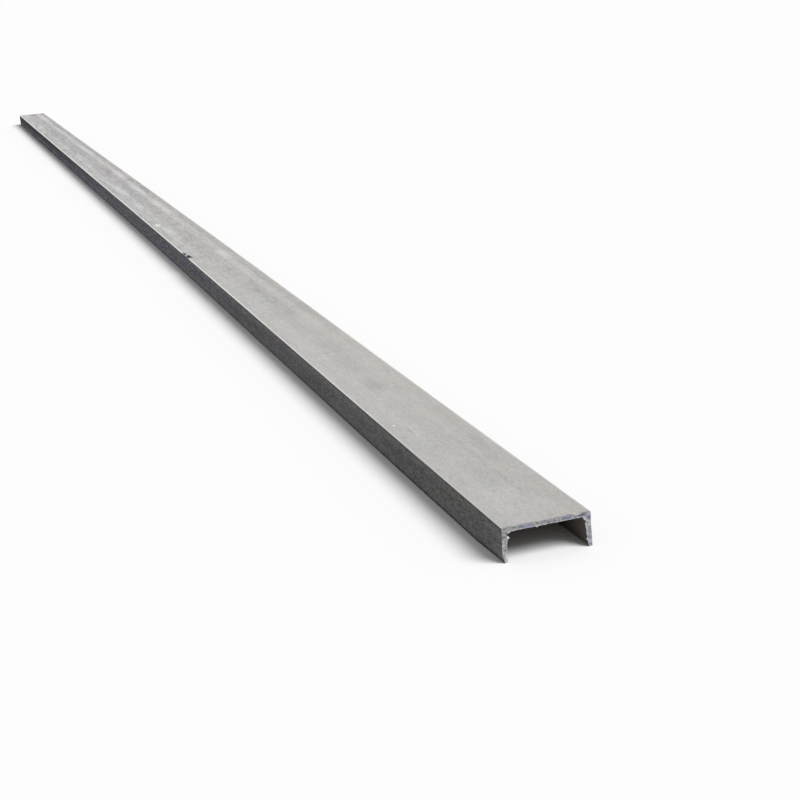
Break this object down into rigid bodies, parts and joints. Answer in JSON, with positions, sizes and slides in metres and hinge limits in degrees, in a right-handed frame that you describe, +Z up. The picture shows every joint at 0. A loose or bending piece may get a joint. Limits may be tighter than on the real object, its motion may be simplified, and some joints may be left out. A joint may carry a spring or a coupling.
{
  "type": "metal channel section",
  "caption": "Hot-rolled steel channel, a flat web with two tapered flanges, cut square to a stock length and lying on its toes; plain stock for frames, bracing and beams.",
  "frame": {"origin": "on the floor, below the middle of the channel's length and depth", "axes": "+Y along the length, away from the end that the picture shows; +X across the depth, from the left flange to the right one; +Z up through the web"},
  "size_m": [0.18, 9, 0.07],
  "materials": {
    "mill_scale_steel": "bare hot-rolled steel with matte grey mill scale and raw sawn ends"
  },
  "bodies": {
    "root": {"channel": "mill_scale_steel"}
  },
  "joints": []
}
